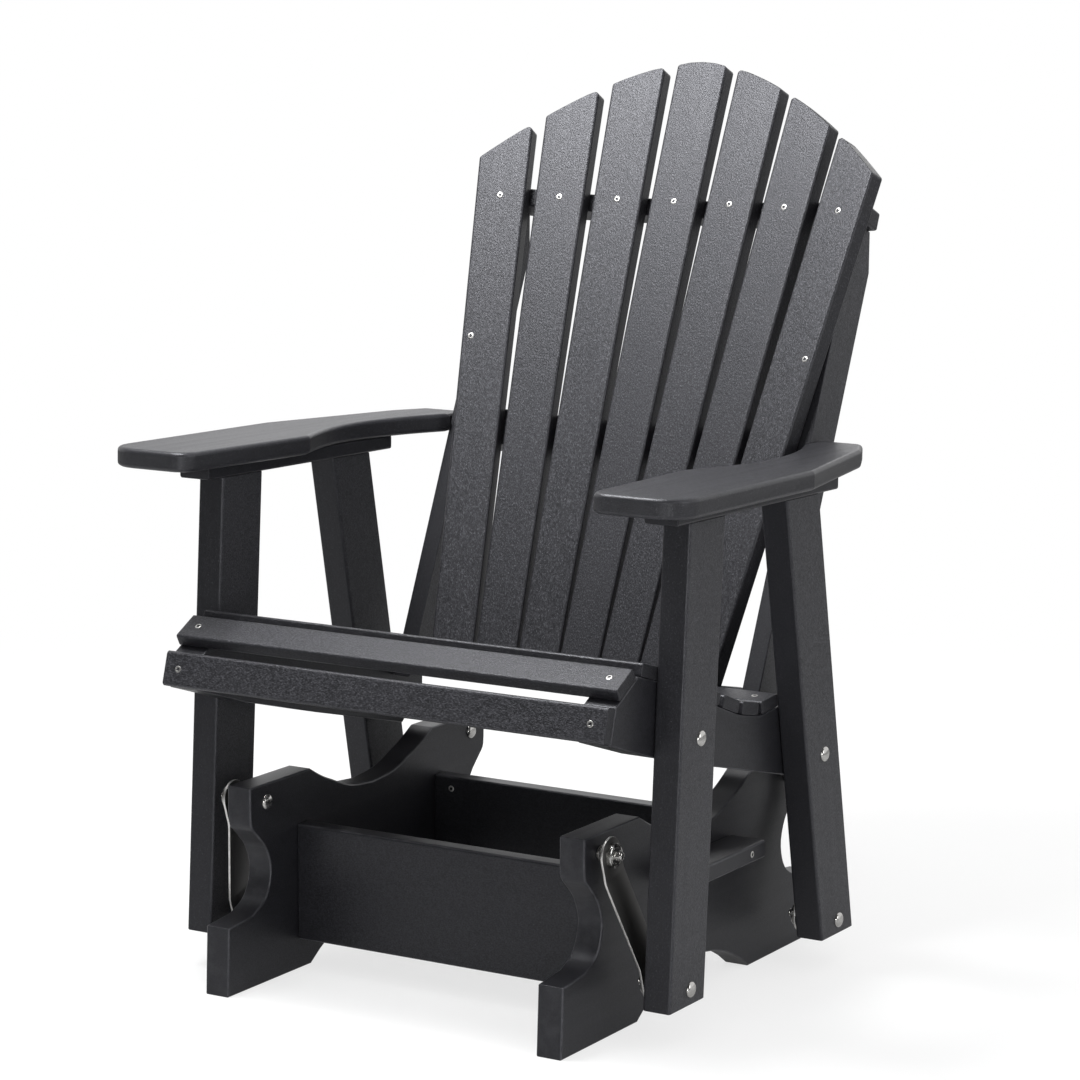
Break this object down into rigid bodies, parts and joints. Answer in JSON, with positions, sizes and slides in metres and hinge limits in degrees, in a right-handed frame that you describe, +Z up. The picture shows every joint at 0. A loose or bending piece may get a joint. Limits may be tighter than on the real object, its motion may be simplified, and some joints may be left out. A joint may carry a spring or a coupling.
{
  "type": "adirondack glider chair",
  "caption": "Adirondack glider armchair: contoured slat seat and fan back with broad arms, hung by steel straps from a low panelled base.",
  "frame": {"origin": "middle of the bounding box, on the floor", "axes": "+Z up, front of the seat toward -Y, +X to the right as seen from the front"},
  "size_m": [0.832, 0.8376, 1.158],
  "materials": {
    "poly_lumber": "near-black recycled plastic board with a fine brushed grain",
    "strap_steel": "stainless flat bar",
    "bolt_steel": "stainless domed bolts with flange nuts",
    "bearing_steel": "polished bearing rings"
  },
  "bodies": {
    "base": {"base_panel_left": "poly_lumber", "base_panel_right": "poly_lumber", "base_stretcher_front": "poly_lumber", "base_stretcher_rear": "poly_lumber", "side_cleat_left": "poly_lumber", "side_cleat_right": "poly_lumber", "base_bolt_front_left": "bolt_steel", "base_bolt_front_right": "bolt_steel", "base_bolt_rear_left": "bolt_steel", "base_bolt_rear_right": "bolt_steel"},
    "front_arms": {"glide_strap_front_left": "strap_steel", "glide_strap_front_right": "strap_steel", "bearing_upper_front_left": "bearing_steel", "bearing_upper_front_right": "bearing_steel", "bearing_lower_front_left": "bearing_steel", "bearing_lower_front_right": "bearing_steel"},
    "rear_arms": {"glide_strap_rear_left": "strap_steel", "glide_strap_rear_right": "strap_steel", "bearing_upper_rear_left": "bearing_steel", "bearing_upper_rear_right": "bearing_steel", "bearing_lower_rear_left": "bearing_steel", "bearing_lower_rear_right": "bearing_steel"},
    "seat": {"leg_front_left": "poly_lumber", "leg_front_right": "poly_lumber", "leg_rear_left": "poly_lumber", "leg_rear_right": "poly_lumber", "seat_rail_left": "poly_lumber", "seat_rail_right": "poly_lumber", "seat_slat_1": "poly_lumber", "seat_slat_2": "poly_lumber", "seat_slat_3": "poly_lumber", "seat_slat_4": "poly_lumber", "seat_slat_5": "poly_lumber", "seat_slat_6": "poly_lumber", "seat_slat_7": "poly_lumber", "seat_slat_8": "poly_lumber", "seat_slat_9": "poly_lumber", "back_slat_1": "poly_lumber", "back_slat_2": "poly_lumber", "back_slat_3": "poly_lumber", "back_slat_4": "poly_lumber", "back_slat_5": "poly_lumber", "back_slat_6": "poly_lumber", "back_slat_7": "poly_lumber", "back_rail_upper": "poly_lumber", "back_rail_middle": "poly_lumber", "back_rail_lower": "poly_lumber", "back_upright_left": "poly_lumber", "back_upright_right": "poly_lumber", "arm_support_left": "poly_lumber", "arm_support_right": "poly_lumber", "arm_left": "poly_lumber", "arm_right": "poly_lumber", "leg_bolt_front_left": "bolt_steel", "leg_bolt_front_right": "bolt_steel", "leg_bolt_rear_left": "bolt_steel", "leg_bolt_rear_right": "bolt_steel"}
  },
  "joints": [
    {"name": "front_swing", "type": "hinge", "parent": "base", "child": "front_arms", "pos_m": [0, -0.3261, 0.2377], "axis": [1, 0, 0], "range_deg": [-12, 12]},
    {"name": "seat_swing", "type": "hinge", "parent": "front_arms", "child": "seat", "pos_m": [0, -0.2702, 0.0683], "axis": [1, 0, 0], "range_deg": [-14.6, 14.6]},
    {"name": "rear_swing", "type": "hinge", "parent": "base", "child": "rear_arms", "pos_m": [0, 0.1642, 0.2377], "axis": [1, 0, 0], "range_deg": [-11.5, 11.5]}
  ],
  "couplings": [
    {"joint": "seat_swing", "follows": "front_swing", "ratio": -1.215},
    {"joint": "rear_swing", "follows": "front_swing", "ratio": 0.95}
  ]
}
